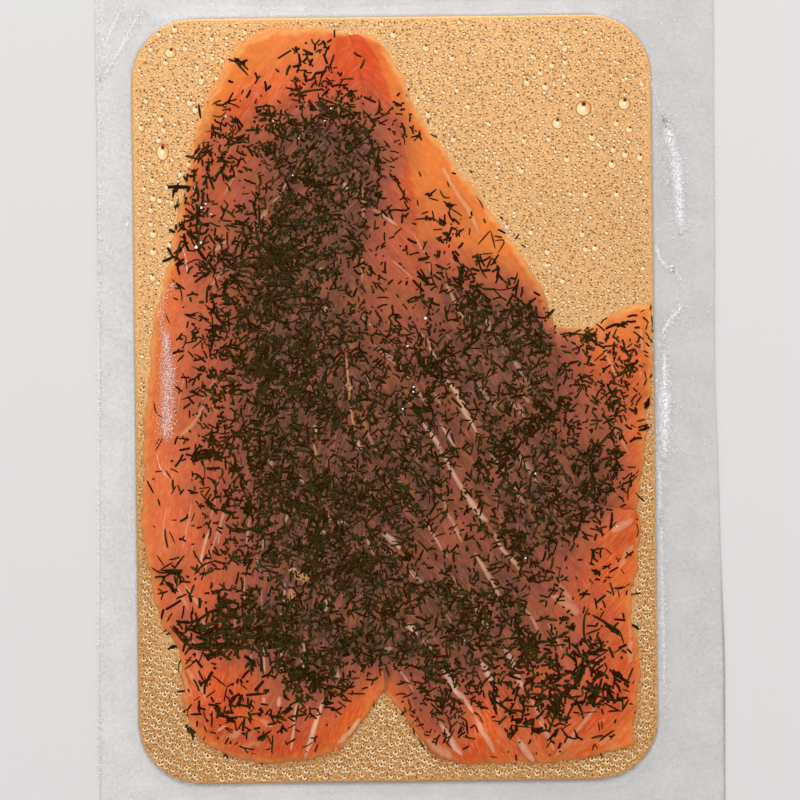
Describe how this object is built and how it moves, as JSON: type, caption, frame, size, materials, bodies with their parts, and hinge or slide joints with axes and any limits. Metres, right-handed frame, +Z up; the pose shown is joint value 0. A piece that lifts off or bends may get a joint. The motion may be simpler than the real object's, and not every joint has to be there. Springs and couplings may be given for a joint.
{
  "type": "pack of gravlax",
  "caption": "Flat clear vacuum pouch holding thin leaves of dill-covered cured salmon laid over each other on a gold card board with round corners.",
  "frame": {"origin": "under the middle of the pouch, on the surface that the pack lies on", "axes": "+Z up out of the shown face; +Y along the pouch, towards the narrow head of the fish; +X across the pouch"},
  "size_m": [0.1698, 0.2496, 0.0084],
  "materials": {
    "film": "clear glossy film, faintly hazy where its two webs meet",
    "gold_card": "satin gold foil laminated to card, finely dimpled",
    "fish": "moist translucent cured salmon, orange at thin edges, wine-brown under the dill",
    "dill": "moist chopped herb, nearly black green",
    "water": "beads of clear brine under the film"
  },
  "bodies": {
    "root": {"pouch": "film", "board": "gold_card", "slice_corner": "fish", "slice_left": "fish", "slice_right": "fish"}
  },
  "joints": []
}
